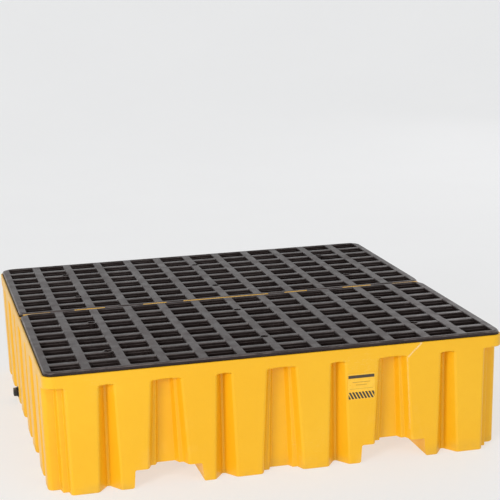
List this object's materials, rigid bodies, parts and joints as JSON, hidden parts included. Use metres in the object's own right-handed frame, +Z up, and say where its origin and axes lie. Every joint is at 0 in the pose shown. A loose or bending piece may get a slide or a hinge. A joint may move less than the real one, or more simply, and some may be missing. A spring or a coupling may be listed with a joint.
{
  "type": "spill containment pallet",
  "caption": "Low square spill containment pallet: ribbed sump tub with fork pockets on two sides, lift-out deck grates and a threaded drain plug.",
  "frame": {"origin": "on the floor under the middle of the pallet's outline", "axes": "+X to the right along the front, which carries the label; +Y to the rear; +Z up"},
  "size_m": [1.318, 1.334, 0.349],
  "materials": {
    "tub_polyethylene": "satin moulded yellow polyethylene",
    "grate_polyethylene": "satin moulded black polyethylene",
    "drain_plastic": "moulded black plastic",
    "seal_rubber": "black rubber",
    "label_film": "printed film label"
  },
  "bodies": {
    "tub": {"tub_front_wall": "tub_polyethylene", "tub_rear_wall": "tub_polyethylene", "tub_left_wall": "tub_polyethylene", "tub_right_wall": "tub_polyethylene", "tub_floor": "tub_polyethylene", "tub_column_front_1": "tub_polyethylene", "tub_column_front_2": "tub_polyethylene", "tub_column_front_3": "tub_polyethylene", "tub_column_front_4": "tub_polyethylene", "tub_column_front_5": "tub_polyethylene", "tub_column_middle_1": "tub_polyethylene", "tub_column_middle_2": "tub_polyethylene", "tub_column_middle_3": "tub_polyethylene", "tub_column_middle_4": "tub_polyethylene", "tub_column_middle_5": "tub_polyethylene", "tub_column_middle_6": "tub_polyethylene", "tub_column_middle_7": "tub_polyethylene", "tub_column_rear_1": "tub_polyethylene", "tub_column_rear_2": "tub_polyethylene", "tub_column_rear_3": "tub_polyethylene", "tub_column_rear_4": "tub_polyethylene", "tub_column_rear_5": "tub_polyethylene", "drain_fitting": "drain_plastic", "drain_gasket": "seal_rubber", "drain_washer": "drain_plastic", "drain_locknut": "drain_plastic", "front_label": "label_film"},
    "front_grate": {"front_grate": "grate_polyethylene"},
    "rear_grate": {"rear_grate": "grate_polyethylene"},
    "plug_seal": {"plug_seal": "seal_rubber"},
    "drain_plug": {"drain_plug": "drain_plastic"}
  },
  "joints": [
    {"name": "front_grate_lift", "type": "slide", "parent": "tub", "child": "front_grate", "axis": [0, 0, 1], "range_m": [0, 0.3]},
    {"name": "rear_grate_lift", "type": "slide", "parent": "tub", "child": "rear_grate", "axis": [0, 0, 1], "range_m": [0, 0.3]},
    {"name": "plug_travel", "type": "slide", "parent": "tub", "child": "plug_seal", "axis": [-1, 0, 0], "range_m": [0, 0.02]},
    {"name": "plug_turn", "type": "hinge", "parent": "plug_seal", "child": "drain_plug", "pos_m": [-0.6509, 0.245, 0.03], "axis": [-1, 0, 0], "range_deg": [0, 3960]}
  ],
  "couplings": [
    {"joint": "plug_travel", "follows": "plug_turn", "m_per_rad": 0.00028871}
  ]
}
